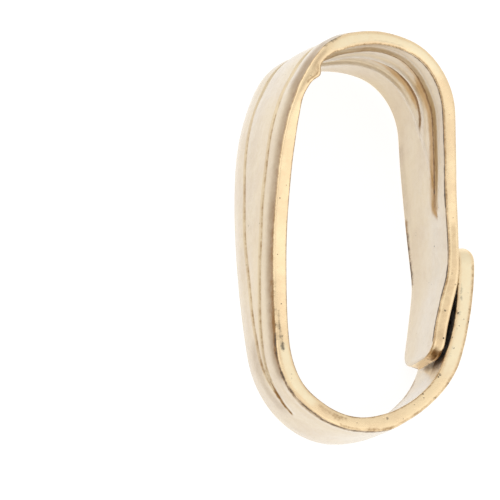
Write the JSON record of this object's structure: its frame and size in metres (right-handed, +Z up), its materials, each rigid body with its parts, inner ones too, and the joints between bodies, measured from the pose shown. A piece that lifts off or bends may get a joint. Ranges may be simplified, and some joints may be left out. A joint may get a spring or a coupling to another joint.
{
  "type": "bail finding",
  "caption": "Fold-over pendant bail: a tapered strip of gold-coloured sheet with pressed flutes, bent into a loop whose tab laps over the tongue at the back.",
  "frame": {"origin": "middle of the bounding box, on the surface that the bail lies on", "axes": "+X from the front face to the lapped back, +Y from the foot to the fold, +Z up, across the strip, as the bail lies on its side"},
  "size_m": [0.0068, 0.0122, 0.0053],
  "materials": {
    "gold": "polished, worn and lightly tarnished"
  },
  "bodies": {
    "root": {"bail": "gold"}
  },
  "joints": []
}
